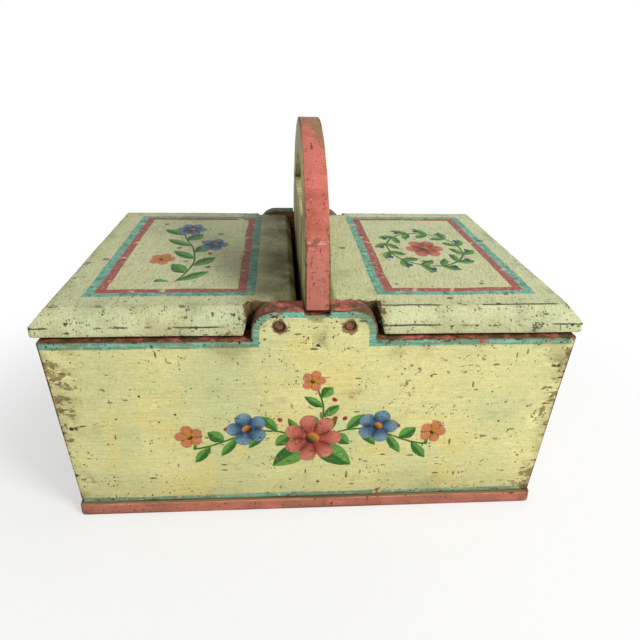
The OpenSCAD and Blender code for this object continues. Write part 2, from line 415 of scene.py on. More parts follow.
def marks_of(f, ragged, kinds):
    """Where scattered marks lie. Each kind has waves per millimetre, rarity, size and a shift."""
    found = None
    for waves, rarity, size, shift in kinds:
        distance, chance = f.cells(waves, shift)
        reach = (chance - rarity).maths("MULTIPLY_ADD", size / (1 - rarity), (ragged - 0.5) * 0.26)
        mark = (reach - distance).ramp(-0.02, 0.015) * chance.ramp(rarity, rarity + 0.02)
        found = mark if found is None else found.high(mark)
    return found


def worn(f, coat, marks, edge, along, amount=1.0):
    """Lays grime, chips, specks and dents over a coat. Gives its colour, roughness and height.

    The marks are the coat's own height, edge the distance from an edge in millimetres, along
    the axis of the grain, and amount how worn it is, up to 1.
    """
    near, close = edge.ramp(13.0, 0.0), edge.ramp(1.6, 0.0)
    cloud = f.noise(0.055, 6, 0.62, shift=6.0)
    coat = f.mix((cloud + near * 0.16).ramp(0.56, 0.80) * (0.42 * amount), coat, f.paint.grime)
    ragged = f.noise(1.3, 3, shift=8.0)
    rub = f.noise(0.30, 5, 0.65, shift=7.0)
    coat = f.mix((close * 0.75 + rub * 0.7).ramp(0.66, 0.95) * 0.85, coat, f.paint.wood)
    flakes = f.noise(streaked(0.30, 0.18, along), 7, 0.66, shift=9.0)
    chip = (flakes + close * 0.10 + near * near * 0.085 + cloud * 0.06).ramp(0.715, 0.735)
    bare, grain = bare_wood(f, along)
    coat = f.mix(chip * amount, coat, bare)
    rust = f.noise(0.10, 5, 0.6, shift=10.0)
    pits = marks_of(f, ragged, ((0.85, 0.62, 0.44, 11.0),)) * (rust + near * 0.12).ramp(0.48, 0.60)
    spots = marks_of(f, ragged, ((0.24, 0.80, 0.17, 12.0), (0.10, 0.80, 0.11, 15.0)))
    across = 2 if along < 2 else 0
    slit = [0.13] * 3
    slit[across] = 0.42
    nick = [0.40] * 3
    nick[across] = 0.11
    dents = marks_of(f, ragged, ((slit, 0.84, 0.30, 13.0), (nick, 0.90, 0.28, 14.0)))
    coat = f.mix(pits.high(spots) * (0.88 * amount), coat, f.paint.soot)
    coat = f.mix(dents * 0.74, coat, f.mix(rub.ramp(0.40, 0.60), f.paint.soot, f.paint.wood))
    dents = dents.high(pits).high(spots)
    height = marks * 0.45 + ragged * 0.12 - chip * 0.45 - dents * 0.55 + grain * chip * 0.2
    roughness = 0.48 + cloud * 0.16 + chip * 0.25
    return coat, roughness, height


def wandering(f, shift=0.0):
    """How far a hand-drawn line strays, in millimetres."""
    slow = f.noise(0.035, 2, shift=41.0 + shift) - 0.5
    quick = f.noise(0.45, 2, shift=42.0 + shift) - 0.5
    return slow * (2.4 * f.stripes.wobble) + quick * 0.7


def band(distance, start, end):
    """1 between two distances, soft at its sides."""
    return distance.ramp(start - 0.2, start + 0.2) * distance.ramp(end + 0.25, end - 0.25)


def brushed(f, ground, mask, colour, patchiness=0.55):
    """Lays a stripe's or a motif's colour on the ground, thin where the brush ran dry."""
    dry = f.noise(0.5, 4, 0.6, shift=44.0).ramp(0.30, 0.46)
    depth = f.noise(0.14, 4, 0.6, shift=45.0)
    hairs = f.noise(1.6, 3, 0.6, shift=46.0)
    colour = f.tint(colour, 0.55 + depth * 0.44 + hairs * 0.44)
    return f.mix(mask * (1 - patchiness + dry * patchiness), ground, colour)


def flower(f, ground, u, v, colours, radius, petals):
    """A round painted flower with an ochre centre, dark outlines and pale strokes."""
    dark, light = colours
    reach = root_of_squares(u, v)
    lobe = abs((v.maths("ARCTAN2", u) * (petals / 2)).maths("COSINE"))
    rim = (lobe ** 0.6) * (radius * 0.36) + radius * 0.64
    share = reach / radius
    petal = f.mix((share + lobe * 0.35).ramp(0.45, 1.25), dark, light)
    petal = f.mix(lobe.ramp(0.32, 0.0) * 0.75, petal, f.paint.soot)
    petal = f.mix((rim - reach).ramp(0.9, 0.2) * 0.55, petal, dark)
    stroke = f.noise(1.3, 3, 0.6, shift=47.0).ramp(0.50, 0.62) * share.ramp(0.45, 0.75)
    petal = f.mix(stroke * 0.18, petal, f.paint.cream)
    ground = brushed(f, ground, (rim - reach).ramp(-0.1, 0.5), petal, 0.2)
    eye = f.mix((u + v).ramp(-radius * 0.2, radius * 0.25), f.paint.soot, f.paint.ochre)
    return f.mix((radius * 0.24 - reach).ramp(-0.2, 0.3), ground, eye)


def leaf(f, ground, u, v, length, width, keep=1.0):
    """A pointed leaf from the origin along +u, lit on one side of its vein."""
    share = u / length
    half = share * (1 - share) * (2 * width)
    blade = f.mix(v.ramp(-0.5, 0.5), f.paint.leaf, f.paint.leaf_light)
    blade = f.mix(abs(v).ramp(0.3, 0.05) * 0.6, blade, f.paint.leaf)
    blade = f.mix((half - abs(v)).ramp(0.6, 0.1) * 0.5, blade, f.paint.leaf)
    return brushed(f, ground, (half - abs(v)).ramp(-0.05, 0.4) * keep, blade, 0.2)


def vine(f, ground, u, v, start, end, pitch):
    """A wavy stem along u with a pair of leaves and a berry every pitch."""
    keep = band(u, start, end)
    turns = u / pitch
    rise = v - turns.maths("SINE") * (pitch * 0.45)
    ground = brushed(f, ground, abs(rise).ramp(0.75, 0.35) * keep, f.paint.leaf, 0.2)
    for shift, angle in ((0.0, 48), (0.5, -48)):
        place = ((turns + shift).maths("FRACT") - 0.5) * pitch + pitch * 0.22
        ground = leaf(f, ground, *turned(place, rise, angle), pitch * 0.95, pitch * 0.46, keep)
    place = ((turns + 0.3).maths("FRACT") - 0.5) * pitch
    berry = root_of_squares(place, rise - pitch * 0.55)
    return brushed(f, ground, berry.ramp(1.6, 1.1) * keep, f.paint.red, 0.2)


def front_spray(f, ground):
    """A mirrored spray of flowers for the middle of the front board."""
    orange, blue = (f.paint.ochre, f.paint.red_light), (f.paint.blue, f.paint.blue_light)
    red = (f.paint.red, f.paint.red_light)
    u = abs(f.x + wandering(f, 3.0))
    v = f.z - (RIM_Z - 62.0) + wandering(f, 6.0)
    ground = vine(f, ground, u, v - u * 0.05, start=6.0, end=62.0, pitch=14.0)
    ground = vine(f, ground, v, f.x, start=12.0, end=34.0, pitch=12.0)
    ground = flower(f, ground, f.x, v - 38.0, orange, radius=6.5, petals=5)
    ground = flower(f, ground, u - 64.0, v - 5.0, orange, radius=7.5, petals=5)
    ground = flower(f, ground, u - 34.0, v - 9.0, blue, radius=11.0, petals=5)
    for angle in (-38, -142):
        ground = leaf(f, ground, *turned(f.x, v, angle), length=27.0, width=13.0)
    return flower(f, ground, f.x, v - 2.0, red, radius=15.5, petals=7)


def lid_sprig(f, ground, u, v):
    """A stem with leaves and three flowers for the left lid."""
    orange, blue = (f.paint.ochre, f.paint.red_light), (f.paint.blue, f.paint.blue_light)
    ground = vine(f, ground, v + 44.0, u + 2.0, start=4.0, end=74.0, pitch=17.0)
    ground = flower(f, ground, u + 13.0, v + 14.0, orange, radius=7.5, petals=5)
    ground = flower(f, ground, u - 14.0, v - 6.0, blue, radius=9.0, petals=5)
    return flower(f, ground, u + 4.0, v - 30.0, blue, radius=10.0, petals=6)


def lid_wreath(f, ground, u, v):
    """A ring of leaves round one flower for the right lid."""
    leaves, ring = 12, 23.0
    red = (f.paint.red, f.paint.red_light)
    reach = root_of_squares(u, v)
    turn = v.maths("ARCTAN2", u) * (leaves / math.tau)
    step = (turn.maths("FRACT") - 0.5) * reach * (math.tau / leaves)
    ground = brushed(f, ground, abs(reach - ring).ramp(0.8, 0.4), f.paint.leaf, 0.2)
    for angle in (40, -40):
        place = turned(step + 3.0, reach - ring, angle)
        ground = leaf(f, ground, *place, length=12.0, width=5.4)
    berry = root_of_squares(step - 4.5, reach - (ring + 3.5)).ramp(2.0, 1.5)
    ground = brushed(f, ground, berry, f.paint.blue, 0.2)
    return flower(f, ground, u, v, red, radius=12.0, petals=6)


def rim_outline(f):
    """Distance below the outline of the rim and its ear, in millimetres."""
    across = (abs(f.x) - (EAR_HALF - EAR_R)).high(0.0)
    above = (f.z - (EAR_TOP - EAR_R)).high(0.0)
    return (RIM_Z - f.z).high(EAR_R - root_of_squares(across, above))


def wall_material(name, axis, sign, spray=None, top_colour=None):
    """Paint for a wall whose outer face looks along an axis, 0 for X or 1 for Y."""
    f = Finish(name)
    outward = (f.nx, f.ny)[axis] * sign
    run = (f.y, f.x)[axis]
    along = 1 - axis
    coat, marks = cream_ground(f, along)
    stray = wandering(f)
    foot_half = (FOOT_HALF_D - BOARD_T, FOOT_HALF_W)[axis]
    end_grain = abs((f.ny, f.nx)[axis]).ramp(0.6, 0.9)
    side = (foot_half + (f.z - FOOT_Z) * FLARE - abs(run)).high(end_grain * 9.0)
    outline = rim_outline(f) if axis == 1 else LID_Z - f.z
    if spray:
        coat = spray(f, coat)
    rubbed = f.noise(0.13, 6, 0.65, shift=48.0)
    red_edge = (rubbed + outline.ramp(5.5, 1.0) * 0.13).ramp(0.665, 0.70)
    coat = f.mix(red_edge, coat, f.paint.coral_dark)
    stripe = band(outline + stray, -2.0, f.stripes.rim_width).high(
        (f.z - FOOT_Z + stray).ramp(f.stripes.foot_width + 0.25, f.stripes.foot_width - 0.25)
    )
    missing = (rubbed + side.ramp(10.0, 2.0) * 0.06).ramp(0.64, 0.60)
    thin = f.noise(streaked(0.6, 0.05, along), 3, 0.6, shift=49.0)
    teal = f.mix(thin.ramp(0.42, 0.62), f.paint.teal_dark, f.paint.teal)
    coat = brushed(f, coat, stripe * missing * (0.80 + thin * 0.3).low(1.0), teal)
    coat = f.mix((f.z - FOOT_Z).ramp(24.0, 5.0) * 0.4, coat, f.mix(0.5, coat, f.paint.grime))
    dirt = ((f.z - FOOT_Z).ramp(1.8, 0.3) + outline.ramp(1.6, 0.4)).low(1.0)
    dirt = dirt * (thin + rubbed * 0.5).ramp(0.60, 0.85)
    coat = f.mix(dirt * 0.8, coat, f.paint.soot)
    edge = side.low(outline).low(f.z - FOOT_Z + 2.0)
    cluster = f.noise(0.040, 2, shift=57.0) - 0.5
    bruise = f.noise(streaked(0.22, 0.15, along), 6, 0.65, shift=50.0)
    bruise = (bruise + side.ramp(17.0, 2.0) * 0.13 + cluster * 0.40).ramp(0.66, 0.70)
    coat = f.mix(bruise * 0.8, coat, f.mix(rubbed.ramp(0.4, 0.6), f.paint.wood, f.paint.grime))
    arris = f.mix(rubbed.ramp(0.42, 0.58), f.paint.soot, f.paint.coral_dark)
    coat = f.mix(side.ramp(1.5, 0.5) * cluster.ramp(-0.16, 0.0) * 0.9, coat, arris)
    if axis == 1:
        pin = root_of_squares(abs(f.x) - PIN_X, f.z - PIN_Z)
        halo = (f.noise(0.35, 4, 0.6, shift=51.0) * 6.5 + 1.2 - pin).ramp(0.0, 0.9)
        coat = f.mix(halo * 0.8, coat, f.paint.wood)
        smudge = root_of_squares((f.x - HANDLE_X) * 0.55, f.z - (EAR_TOP - 4.2))
        smudge = (f.noise(0.4, 4, shift=52.0) * 5.0 + 0.6 - smudge).ramp(0.0, 1.6)
        coat = f.mix(smudge * 0.6, coat, f.paint.grime)
    coat, roughness, height = worn(f, coat, marks, edge, along)
    top, top_marks = coral_ground(f, along)
    # On the back board the top is dark teal. Its darkness is partly painted shade of the back
    # ear's top.
    top = f.mix(0.85 if top_colour else 0.0, top, top_colour or f.paint.coral)
    top = f.mix(f.noise(0.12, 5, 0.6, shift=53.0).ramp(0.36, 0.56), top, f.paint.wood)
    # Painted shade under the lids: the rim's top below the lids gets a little more soot on top of
    # the dust.
    hidden = (f.z - LID_Z).ramp(1.5, 0.5) * 0.06
    dust_and_under_lid_shade = (f.noise(0.50, 5, 0.6, shift=54.0) + hidden).ramp(0.44, 0.74)
    top = f.mix(dust_and_under_lid_shade * 0.75, top, f.paint.soot)
    upward = f.nz.ramp(0.45, 0.75)
    coat = f.mix(upward, coat, top)
    height = height * (1 - upward) + top_marks * upward * 0.4
    inside, grain = bare_wood(f, along, pale=True)
    indoors = outward.ramp(-0.3, -0.6)
    coat = f.mix(indoors, coat, inside)
    return f.close(coat, roughness + indoors * 0.2, height * (1 - indoors) + grain * indoors * 0.3)


def lid_material(name, spray, frame_x, frame_half, crease, handle_shadow_and_grime):
    """Paint for a lid: a ground, a teal and brick frame, and a painted spray.

    The frame's middle and half its width are in millimetres. The crease is how unbroken the
    line along the bevel is, and the last argument how dark the strip beside the handle is
    painted, both up to 1: painted shadow of the handle, mixed with grime.
    """
    f = Finish(name)
    coat, marks = cream_ground(f, along=1, cool=0.6)
    frame_y, frame_half_y = 1.0, 75.0
    u, v = f.x - frame_x, f.y - frame_y
    stray = wandering(f)
    inset = (frame_half - abs(u)).low(frame_half_y - abs(v)) + stray
    width = f.stripes.lid_width
    coat = spray(f, coat, u + wandering(f, 3.0), (v + wandering(f, 6.0)) * 0.72)
    kept = f.noise(0.14, 6, 0.65, shift=48.0).ramp(0.66, 0.60)
    thin = f.noise(0.30, 4, 0.6, shift=49.0)
    teal = f.mix(thin.ramp(0.38, 0.58), f.paint.teal_dark, f.paint.teal)
    coat = brushed(f, coat, band(inset, 0.0, width) * kept, teal)
    coat = brushed(f, coat, band(inset, width, 2 * width) * kept, f.paint.brick)
    slant = (0, 0, 0.22)
    hatch = f.noise((0.75, 0.10, 0.5), 4, 0.7, shift=55.0, turn=slant)
    strokes = f.noise((1.9, 0.22, 1.0), 3, 0.6, shift=56.0, turn=slant)
    coat = f.tint(coat, 0.48 + hatch * 0.50 + strokes * 0.56)
    scratch = strokes.ramp(0.60, 0.68) * hatch.ramp(0.46, 0.60)
    outside = (LID_END - abs(f.x)).low(LID_HALF_D - abs(f.y))
    on_bevel = outside.ramp(BEVEL_RUN + 2.0, BEVEL_RUN - 1.0)
    coat = f.mix(scratch * (0.40 + on_bevel * 0.45), coat, f.paint.grime)
    lower = f.z - LID_Z
    notch = (abs(f.x) - NOTCH_X).high(TONGUE_HALF - abs(f.y))
    fold = abs(outside - BEVEL_RUN + stray * 0.35)
    arris = abs(outside - BEVEL_RUN).low(abs(lower - LID_EDGE)).low(lower)
    edge = (arris + 1.0).low(abs(notch))
    broken = f.noise(0.05, 3, shift=57.0)
    line = fold.ramp(0.55, 0.15) * broken.ramp(0.62 - crease * 0.25, 0.70 - crease * 0.25)
    under = abs(lower - LID_EDGE - 0.3 + stray * 0.4).ramp(0.50, 0.15)
    line = line.high(under * broken.ramp(0.52, 0.44))
    coat = f.mix(line * 0.9, coat, f.paint.soot)
    shoulder = (abs(f.x) - NOTCH_X + 2.0).ramp(9.0, 0.0)
    shoulder = shoulder * (abs(f.y) - TONGUE_HALF + 6.0).ramp(0.0, 6.0)
    patch = (f.noise(0.28, 6, 0.66, shift=58.0) + shoulder * 0.22).ramp(0.66, 0.69)
    patch = patch * shoulder.ramp(0.0, 0.2)
    coat = f.mix(patch * 0.9, coat, f.paint.wood)
    # Painted shadow of the handle on the strip of lid beside it, mixed with grime, darkest next to
    # the handle.
    beside_handle_shadow_and_grime = abs(f.x).ramp(46.0, 12.0) * f.noise(0.05, 4, 0.6, shift=59.0).ramp(0.25, 0.65)
    coat = f.mix(beside_handle_shadow_and_grime * handle_shadow_and_grime, coat, f.mix(0.5, f.paint.grime, f.paint.soot))
    coat, roughness, height = worn(f, coat, marks * 0.5 + hatch * 1.6 + strokes, edge, 1, 0.8)
    indoors = f.nz.ramp(-0.4, -0.7)
    inside, grain = bare_wood(f, 1, pale=True)
    coat = f.mix(indoors, coat, inside)
    height = (height - line * 0.5 - patch * 0.4) * (1 - indoors) + grain * indoors * 0.3
    return f.close(coat, roughness + indoors * 0.2, height)


def handle_material(name):
    """Coral round the handle's edge, cream on its faces and hole, bare wood in the box."""
    f = Finish(name)
    coral, coral_marks = coral_ground(f, along=2)
    cream, cream_marks = cream_ground(f, along=1)
    cream = f.mix(f.noise(0.05, 4, shift=61.0).ramp(0.35, 0.65) * 0.7, cream, f.paint.grime)
    above = (f.z - SPRING_Z).high(0.0) / (TOP_Z - SPRING_Z)
    outline = (1 - root_of_squares(f.y / HANDLE_HALF_D, above)) * (HANDLE_HALF_D * 0.85)
    face = abs(f.nx).ramp(0.55, 0.8).high(outline.ramp(5.0, 7.0))
    depth = HANDLE_HALF_T - abs(f.x - HANDLE_X)
    edge = outline.high(0.0).high(depth)
    coat = f.mix(face, coral, cream)
    border = (f.noise(0.4, 4, shift=65.0) * 3.0 + 0.2 - outline).ramp(0.0, 0.8) * face
    coat = f.mix(border * 0.9, coat, f.paint.wood)
    joint = abs(f.z - JOINT_Z + (f.noise(0.3, 3, shift=62.0) - 0.5) * 1.2)
    joint = joint + abs(f.nz).ramp(0.6, 0.8) * 9.0
    flaked = f.noise(0.4, 4, shift=63.0)
    coat = f.mix((f.z - JOINT_Z).ramp(1.0, -9.0) * (1 - face) * 0.5, coat, f.paint.base_dull)
    coat = f.mix(joint.ramp(3.5, 0.5) * flaked.ramp(0.46, 0.60) * 0.6, coat, f.paint.wood)
    coat = f.mix(joint.ramp(0.8, 0.3) * flaked.ramp(0.62, 0.48) * 0.7, coat, f.paint.coral_light)
    chalk = f.noise(0.7, 5, 0.7, shift=66.0).ramp(0.58, 0.70) * (f.z - EAR_TOP).ramp(0.0, 20.0)
    coat = f.mix(chalk * (1 - face) * 0.5, coat, f.paint.coral_light)
    crown = (f.z - TOP_Z + 16.0) * 0.03 + (f.x - HANDLE_X) * 0.03
    crown = (crown + f.noise(0.16, 5, 0.6, shift=64.0)).ramp(0.76, 0.98)
    coat = f.mix(crown * 0.8, coat, f.paint.grime)
    coat, roughness, height = worn(f, coat, coral_marks + cream_marks * face, edge, 2, 0.45)
    indoors = (f.z - LID_Z).ramp(0.5, -0.5)
    inside, grain = bare_wood(f, 1, pale=True)
    coat = f.mix(indoors, coat, inside)
    return f.close(coat, roughness, height * (1 - indoors) + grain * indoors * 0.3)


def base_material(name):
    """Coral round the bottom board's edge, with bare wood beneath."""
    f = Finish(name)
    coat, marks = coral_ground(f, along=0)
    dull = f.noise(streaked(0.5, 0.03, 0), 4, 0.6, shift=72.0)
    coat = f.mix(dull.ramp(0.30, 0.70) * 0.5 + 0.3, coat, f.paint.base_dull)
    depth = BASE_HIGH[2] - f.z
    edge = depth.low(f.z)
    coat = f.mix(f.z.ramp(2.6, 0.2) * dull.ramp(0.3, 0.6) * 0.7, coat, f.paint.soot)
    # Paler coral along the base's top edge: partly painted highlight, partly rubbed paint.
    rubbed = depth.ramp(1.3, 0.2) * dull.ramp(0.60, 0.45)
    coat = f.mix(rubbed * 0.5, coat, f.paint.coral_light)
    ends = (BASE_HIGH[0] - abs(f.x)).ramp(9.0, 1.0) * f.noise(0.2, 4, shift=71.0).ramp(0.40, 0.60)
    coat = f.mix(ends * 0.6, coat, f.paint.wood)
    coat, roughness, height = worn(f, coat, marks, edge + 1.2, 0, 0.5)
    flat = abs(f.nz).ramp(0.6, 0.9)
    bare, grain = bare_wood(f, 0, pale=True)
    coat = f.mix(flat, coat, bare)
    return f.close(coat, roughness + flat * 0.15, height * (1 - flat) + grain * flat * 0.3)


def pin_material(name):
    """Dowel wood with end grain, rubbed with old paint."""
    f = Finish(name)
    across = root_of_squares(abs(f.x) - PIN_X, f.z - PIN_Z)
    rings = (across * 5.0 + f.noise(0.5, 3, shift=81.0) * 4.0).maths("SINE")
    bare = f.noise(0.30, 3, shift=84.0).ramp(0.40, 0.60)
    coat = f.mix(bare, f.paint.base_dull, f.paint.wood_pale)
    coat = f.mix(rings.ramp(-0.6, 0.8) * 0.35, coat, f.paint.wood)
    coat = f.mix(across.ramp(1.7, 2.6) * 0.9, coat, f.paint.soot)
    coat = f.mix(f.noise(0.9, 4, shift=82.0).ramp(0.50, 0.66) * 0.7, coat, f.paint.soot)
    return f.close(coat, 0.72 + rings * 0.05, rings * 0.15 + f.noise(1.2, 3, shift=83.0) * 0.4)


def nail_material(name):
    """Rusted iron, with scraps of the boards' paint still on it."""
    f = Finish(name)
    rust = f.noise(0.7, 5, 0.65, shift=91.0)
    coat = f.mix(rust.ramp(0.40, 0.66), f.paint.iron, f.paint.wood)
    painted = f.noise(0.35, 4, shift=92.0).ramp(0.42, 0.52)
    coat = f.mix(painted * 0.9, coat, f.paint.cream)
    return f.close(coat, 0.62 + rust * 0.2, rust - painted * 0.2)


# The floor's width in metres, how white it looks near the object, and, in millimetres from
# the middle, where it starts to turn whiter and where it is all white.
FLOOR_SIZE = 6.0
FLOOR_GLOW = 0.55
FLOOR_NEAR = 130.0
FLOOR_FAR = 330.0
WHITE = (1, 1, 1)

# Lamps look at the middle. Each has a name, a place and a size in metres.
MIDDLE = Vector((0, 0, 0.09))
KEY_LAMP = ("key_lamp", (1.05, -1.00, 1.10), 0.55)
FILL_LAMP = ("fill_lamp", (-0.60, -1.40, 0.45), 1.0)
BACK_LAMP = ("back_lamp", (0.90, 1.10, 1.10), 1.0)

# How the copies of the frame's pieces are cut and worn, in millimetres or degrees.
MERGE = 0.02
FLAT_ANGLE = 0.5
SLICE_CLEAR = 1.6
SHARP_ANGLE = 30.0
SMOOTH_ANGLE = 40.0
HOLE_REACH = 0.3
WAVE = 46.0

# Nothing below this height is drawn in, so that the box stands flat.
FLAT_FOOT = 1.0

PINS = ("front_left_pin", "front_right_pin", "back_left_pin", "back_right_pin")
NAILS = ("front_corner_nails", "back_corner_nails", "bottom_nails", "handle_nails")


def select_only(piece):
    """Selects one piece and makes it the active one."""
    bpy.ops.object.select_all(action="DESELECT")
    piece.select_set(True)
    bpy.context.view_layer.objects.active = piece


def copy_of(node, name):
    """A new piece from a frame piece's mesh, merged and with its flat faces joined."""
    piece = bpy.data.objects.new(name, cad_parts[node].data.copy())
    piece.data.name = name
    bpy.context.scene.collection.objects.link(piece)
    select_only(piece)
    bpy.ops.object.mode_set(mode="EDIT")
    bpy.ops.mesh.select_all(action="SELECT")
    bpy.ops.mesh.remove_doubles(threshold=MERGE * MM)
    bpy.ops.mesh.dissolve_limited(angle_limit=math.radians(FLAT_ANGLE))
    bpy.ops.object.mode_set(mode="OBJECT")
    return piece


def slice_places(mesh, axis, step):
    """Evenly spaced places along an axis, clear of the faces that lie across it."""
    reach = [vertex.co[axis] for vertex in mesh.vertices]
    low, high = min(reach), max(reach)
    taken = []
    for face in mesh.polygons:
        if abs(face.normal[axis]) > 0.9:
            spots = [mesh.vertices[index].co[axis] for index in face.vertices]
            taken.append((min(spots) - SLICE_CLEAR * MM, max(spots) + SLICE_CLEAR * MM))
    count = max(1, round((high - low) / (step * MM)))
    places = [low + (high - low) * index / count for index in range(1, count)]
    return [place for place in places if not any(start < place < end for start, end in taken)]


def slice_up(piece, step):
    """Cuts a piece's faces by planes along each axis, so that it can be made uneven."""
    places = [(axis, place) for axis in range(3) for place in slice_places(piece.data, axis, step)]
    select_only(piece)
    bpy.ops.object.mode_set(mode="EDIT")
    for axis, place in places:
        direction = [float(other == axis) for other in range(3)]
        bpy.ops.mesh.select_all(action="SELECT")
        bpy.ops.mesh.bisect(plane_co=[place * part for part in direction], plane_no=direction)
    bpy.ops.object.mode_set(mode="OBJECT")


def plane_by_hand(piece, depth, seed):
    """Draws a piece's surface in here and there, by that depth in millimetres at most."""
    for vertex in piece.data.vertices:
        if vertex.co.z < FLAT_FOOT * MM:
            continue
        wave = noise.noise(vertex.co / (WAVE * MM) + Vector((seed, 0, 0)))
        ripple = noise.noise(vertex.co / (WAVE * MM / 4) + Vector((0, seed, 0)))
        share = min(1, max(0, 0.45 + 0.6 * wave + 0.25 * ripple))
        vertex.co -= vertex.normal * (share * depth * MM)


def fastener_tree():
    """A search tree of the pins', nails' and dowels' surfaces."""
    vertices, faces = [], []
    for node in (*PINS, *NAILS, "handle_dowels"):
        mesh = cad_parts[node].data
        faces.extend([index + len(vertices) for index in face.vertices] for face in mesh.polygons)
        vertices.extend(vertex.co.copy() for vertex in mesh.vertices)
    return BVHTree.FromPolygons(vertices, faces)


def round_edges(piece, radius, segments, fasteners=None):
    """Rounds a piece's outer edges, but not a glued joint's or those round a fastener."""
    select_only(piece)
    bpy.ops.object.mode_set(mode="EDIT")
    bpy.ops.mesh.select_mode(type="EDGE")
    bpy.ops.mesh.select_all(action="DESELECT")
    edit = bmesh.from_edit_mesh(piece.data)
    for edge in edit.edges:
        sharp = edge.is_manifold and edge.is_convex
        sharp = sharp and edge.calc_face_angle() > math.radians(SHARP_ANGLE)
        if sharp and fasteners:
            ends = [vertex.co for vertex in edge.verts]
            sharp = any(fasteners.find_nearest(end, HOLE_REACH * MM)[0] is None for end in ends)
            sharp = sharp and any(abs(end.z / MM - JOINT_Z) > HOLE_REACH for end in ends)
        edge.select_set(sharp)
    edit.select_flush_mode()
    bmesh.update_edit_mesh(piece.data)
    bpy.ops.mesh.bevel(offset=radius * MM, segments=segments, affect="EDGES", clamp_overlap=False)
    bpy.ops.object.mode_set(mode="OBJECT")
    bpy.ops.object.shade_smooth_by_angle(angle=math.radians(SMOOTH_ANGLE))


def dress(piece, node, body, material):
    """Gives a piece its material, and puts it in place of a frame piece."""
    piece.data.materials.clear()
    piece.data.materials.append(material)
    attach(piece, body)
    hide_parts(node)


def worn_board(node, name, body, material, seed, arris=None):
    """A board in place of a frame piece, uneven from planing and with worn edges."""
    wear = bpy.context.scene.carrier_wear
    piece = copy_of(node, name)
    slice_up(piece, wear.slice_step)
    plane_by_hand(piece, wear.unevenness, seed)
    round_edges(piece, arris or wear.arris, wear.arris_segments, fastener_tree())
    dress(piece, node, body, material)


class CARRIER_OT_walls(bpy.types.Operator):
    """Make the front, back and end boards"""

    bl_idname = "carrier.walls"
    bl_label = "Walls"

    def execute(self, context):
        paint = context.scene.carrier_paint
        walls = (
            ("front_board", "front_wall", wall_material("Front paint", 1, -1, front_spray)),
            # The back board's top is painted dark teal, dark partly as painted shade.
            ("back_board", "back_wall", wall_material("Back paint", 1, 1, None, paint.teal_dark)),
            ("left_side", "left_wall", wall_material("Left end paint", 0, -1)),
            ("right_side", "right_wall", wall_material("Right end paint", 0, 1)),
        )
        for number, (node, name, material) in enumerate(walls):
            worn_board(node, name, "box", material, seed=1.3 + number)
        return {"FINISHED"}


class CARRIER_OT_base(bpy.types.Operator):
    """Make the bottom board"""

    bl_idname = "carrier.base"
    bl_label = "Base"

    def execute(self, context):
        material = base_material("Base paint")
        arris = context.scene.carrier_wear.base_arris
        worn_board("bottom_board", "base", "box", material, seed=6.1, arris=arris)
        return {"FINISHED"}


class CARRIER_OT_handle(bpy.types.Operator):
    """Make the handle's upper board and the board below it that divides the box"""

    bl_idname = "carrier.handle"
    bl_label = "Handle"

    def execute(self, context):
        material = handle_material("Handle paint")
        worn_board("handle_arch", "handle_top", "box", material, seed=7.4)
        worn_board("divider_board", "handle_foot", "box", material, seed=7.4)
        return {"FINISHED"}


class CARRIER_OT_lids(bpy.types.Operator):
    """Make the two lids"""

    bl_idname = "carrier.lids"
    bl_label = "Lids"

    def execute(self, context):
        # The left lid gets the handle's painted shadow strongly. The right lid gets it only a
        # little.
        left = lid_material(
            "Left lid paint", lid_sprig, frame_x=-70.8, frame_half=42.2, crease=0.2, handle_shadow_and_grime=0.95
        )
        right = lid_material(
            "Right lid paint", lid_wreath, frame_x=74.3, frame_half=41.7, crease=1.0, handle_shadow_and_grime=0.15
        )
        worn_board("left_lid", "left_cover_board", "left_cover", left, seed=9.7)
        worn_board(
            "right_lid", "right_cover_board", "right_cover", right, seed=11.3
        )
        return {"FINISHED"}


class CARRIER_OT_pins(bpy.types.Operator):
    """Make the four dowel pins that the lids turn on"""

    bl_idname = "carrier.pins"
    bl_label = "Pins"

    def execute(self, context):
        wear = context.scene.carrier_wear
        material = pin_material("Pin wood")
        for node in PINS:
            piece = copy_of(node, node.replace("pin", "dowel"))
            plane_by_hand(piece, wear.pin_unevenness, seed=12.6)
            round_edges(piece, wear.pin_arris, segments=4)
            dress(piece, node, "box", material)
        return {"FINISHED"}


class CARRIER_OT_nails(bpy.types.Operator):
    """Make the nails, and the dowels in the handle's joint"""

    bl_idname = "carrier.nails"
    bl_label = "Nails and dowels"

    def execute(self, context):
        wear = context.scene.carrier_wear
        iron = nail_material("Nail iron")
        for node in NAILS:
            piece = copy_of(node, node.replace("nails", "cut_nails"))
            round_edges(piece, wear.nail_arris, segments=2)
            dress(piece, node, "box", iron)
        piece = copy_of("handle_dowels", "joint_dowels")
        round_edges(piece, wear.dowel_arris, segments=3)
        dress(piece, "handle_dowels", "box", pin_material("Joint dowel wood"))
        return {"FINISHED"}


